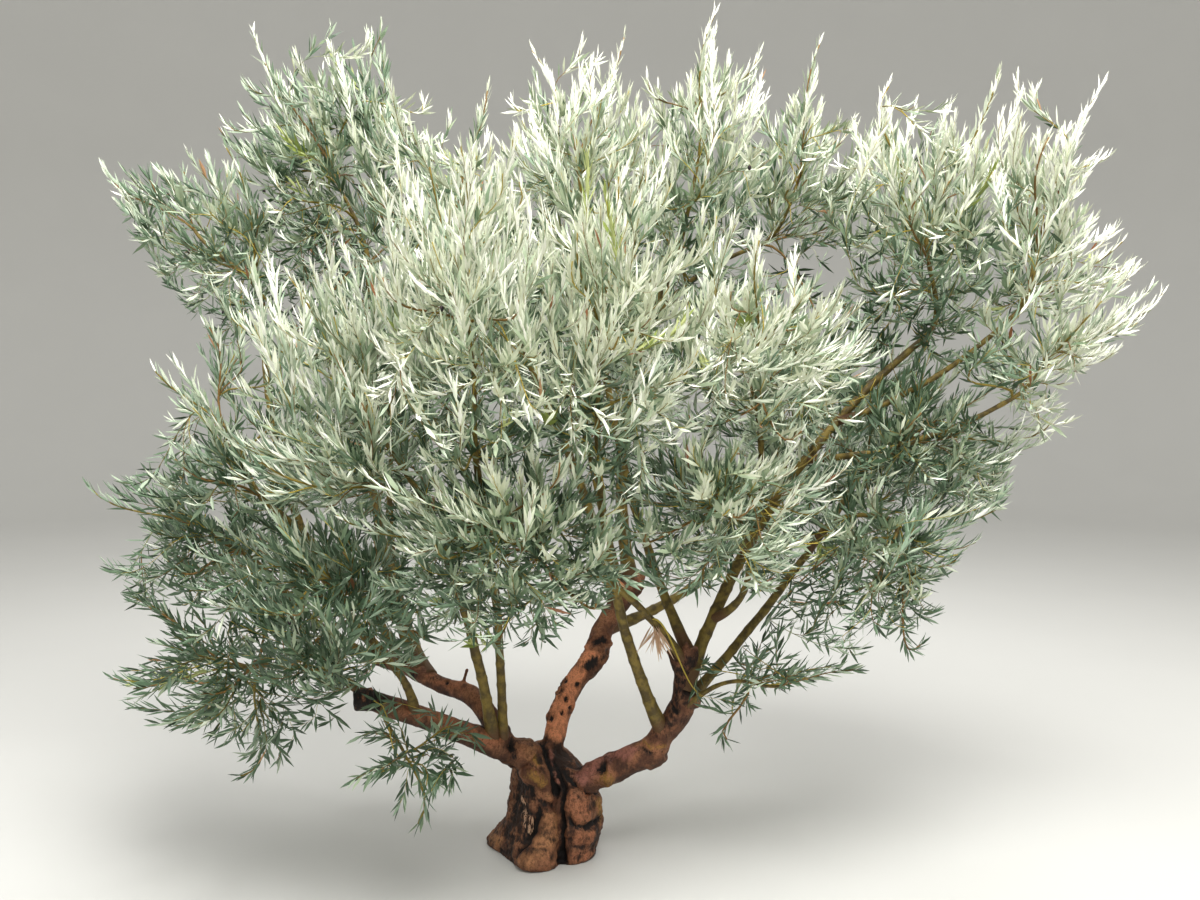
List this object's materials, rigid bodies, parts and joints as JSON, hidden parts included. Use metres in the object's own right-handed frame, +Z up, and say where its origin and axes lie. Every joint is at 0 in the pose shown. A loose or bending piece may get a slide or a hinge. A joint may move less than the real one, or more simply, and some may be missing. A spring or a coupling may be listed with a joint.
{
  "type": "olive tree",
  "caption": "Garden olive tree with a squat gnarled trunk, stout cut-back boughs, slim upright stems and a wide loose crown of silvery leaf sprays",
  "frame": {"origin": "middle of the trunk's flat cut at ground level", "axes": "+Z up the tree, +X to the right of the reference view, +Y away from that view"},
  "size_m": [3.633, 2.1311, 2.86],
  "materials": {
    "bark": "rough red-brown bark with knobs, hollows and mossy patches",
    "young_bark": "smooth olive-green to brown bark of stems and twigs",
    "silver_leaves": "slim leathery leaves, silvery and pale, as in the sunlit top of the crown",
    "grey_leaves": "slim leathery leaves, duller grey-green, as in the lower crown"
  },
  "bodies": {
    "root": {"trunk": "bark", "bough_left": "bark", "bough_left_back": "bark", "bough_middle": "bark", "bough_right": "bark", "bough_right_upright": "bark", "stem_front_left": "young_bark", "stem_front_crest": "young_bark", "stem_left_near": "young_bark", "stem_front_hanging": "young_bark", "stem_left_bottom": "young_bark", "stem_left_low": "young_bark", "stem_left_middle": "young_bark", "stem_far_left": "young_bark", "stem_top_left": "young_bark", "stem_rear_left": "young_bark", "stem_rear_right": "young_bark", "stem_rear_centre": "young_bark", "stem_top_peak": "young_bark", "stem_top_right": "young_bark", "stem_top_inner_left": "young_bark", "stem_front_right": "young_bark", "stem_top_centre": "young_bark", "stem_front_low": "young_bark", "stem_right_crown": "young_bark", "stem_right_outer": "young_bark", "stem_right_tip": "young_bark", "stem_centre_right": "young_bark", "stem_centre_low": "young_bark", "stem_right_low": "young_bark", "stem_right_bottom": "young_bark", "stem_right_hanging": "young_bark", "leaves_top_left": "silver_leaves", "leaves_far_left": "silver_leaves", "leaves_top_inner_left": "silver_leaves", "leaves_front_crest": "silver_leaves", "leaves_front_left": "silver_leaves", "leaves_front_right": "silver_leaves", "leaves_front_low": "grey_leaves", "leaves_left_middle": "silver_leaves", "leaves_left_low": "grey_leaves", "leaves_left_bottom": "grey_leaves", "leaves_left_near": "grey_leaves", "leaves_front_hanging": "grey_leaves", "leaves_top_centre": "silver_leaves", "leaves_top_peak": "silver_leaves", "leaves_top_right": "silver_leaves", "leaves_right_crown": "silver_leaves", "leaves_right_outer": "silver_leaves", "leaves_right_tip": "silver_leaves", "leaves_right_low": "grey_leaves", "leaves_right_bottom": "grey_leaves", "leaves_centre_right": "silver_leaves", "leaves_centre_low": "grey_leaves", "leaves_right_hanging": "grey_leaves", "leaves_rear_left": "silver_leaves", "leaves_rear_centre": "silver_leaves", "leaves_rear_right": "silver_leaves"}
  },
  "joints": []
}
